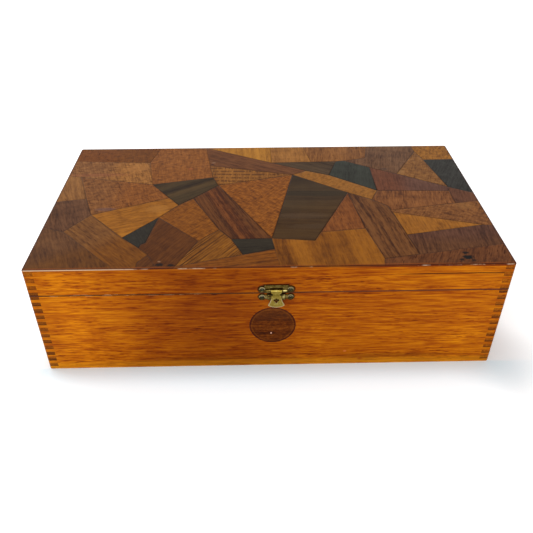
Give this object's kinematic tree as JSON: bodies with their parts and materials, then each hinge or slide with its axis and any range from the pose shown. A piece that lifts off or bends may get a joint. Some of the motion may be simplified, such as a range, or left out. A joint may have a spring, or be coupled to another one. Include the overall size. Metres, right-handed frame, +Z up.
{
  "type": "hinged wooden box",
  "caption": "Flat finger-jointed wooden box with a shallow hinged lid skinned in angular mixed-wood veneers, closed by a small brass hook-and-tongue catch.",
  "frame": {"origin": "centre of the box's base, on the surface it stands on", "axes": "+X to the right along the length, -Y towards the catch, +Z up"},
  "size_m": [0.36, 0.2077, 0.1],
  "materials": {
    "board_wood": "glossy amber varnish",
    "panel_wood": "plain, thinly varnished",
    "disc_wood": "glossy amber varnish",
    "catch_brass": "aged, olive-yellow",
    "hinge_brass": "aged, olive-yellow",
    "pin_steel": "dull",
    "screw_brass": "aged",
    "dark_nail": "blackened",
    "veneer_cherry": "satin varnish",
    "veneer_ebony": "satin varnish",
    "veneer_macassar": "satin varnish",
    "veneer_mahogany": "satin varnish",
    "veneer_maple": "satin varnish",
    "veneer_oak": "satin varnish",
    "veneer_rosewood": "satin varnish",
    "veneer_satinwood": "satin varnish",
    "veneer_teak": "satin varnish",
    "veneer_walnut": "satin varnish",
    "veneer_zebrano": "satin varnish"
  },
  "bodies": {
    "case": {"case_front": "board_wood", "case_back": "board_wood", "case_left": "board_wood", "case_right": "board_wood", "case_bottom": "panel_wood", "front_disc": "disc_wood", "catch_lower_plate": "catch_brass", "catch_lower_nails": "dark_nail", "hinge_left_case_leaf": "hinge_brass", "hinge_right_case_leaf": "hinge_brass", "hinge_left_pin": "pin_steel", "hinge_right_pin": "pin_steel", "hinge_case_screws": "screw_brass"},
    "lid": {"lid_front": "board_wood", "lid_back": "board_wood", "lid_left": "board_wood", "lid_right": "board_wood", "lid_panel": "panel_wood", "catch_upper_plate": "catch_brass", "catch_upper_nails": "dark_nail", "hinge_left_lid_leaf": "hinge_brass", "hinge_right_lid_leaf": "hinge_brass", "hinge_lid_screws": "screw_brass", "veneer_cherry": "veneer_cherry", "veneer_ebony": "veneer_ebony", "veneer_macassar": "veneer_macassar", "veneer_mahogany": "veneer_mahogany", "veneer_maple": "veneer_maple", "veneer_oak": "veneer_oak", "veneer_rosewood": "veneer_rosewood", "veneer_satinwood": "veneer_satinwood", "veneer_teak": "veneer_teak", "veneer_walnut": "veneer_walnut", "veneer_zebrano": "veneer_zebrano"},
    "tongue": {"catch_tongue": "catch_brass"}
  },
  "joints": [
    {"name": "lid_hinge", "type": "hinge", "parent": "case", "child": "lid", "pos_m": [0, 0.1022, 0.0762], "axis": [-1, 0, 0], "range_deg": [0, 180]},
    {"name": "catch_hinge", "type": "hinge", "parent": "lid", "child": "tongue", "pos_m": [0.004, -0.1015, 0.079], "axis": [-1, 0, 0], "range_deg": [0, 150]}
  ]
}
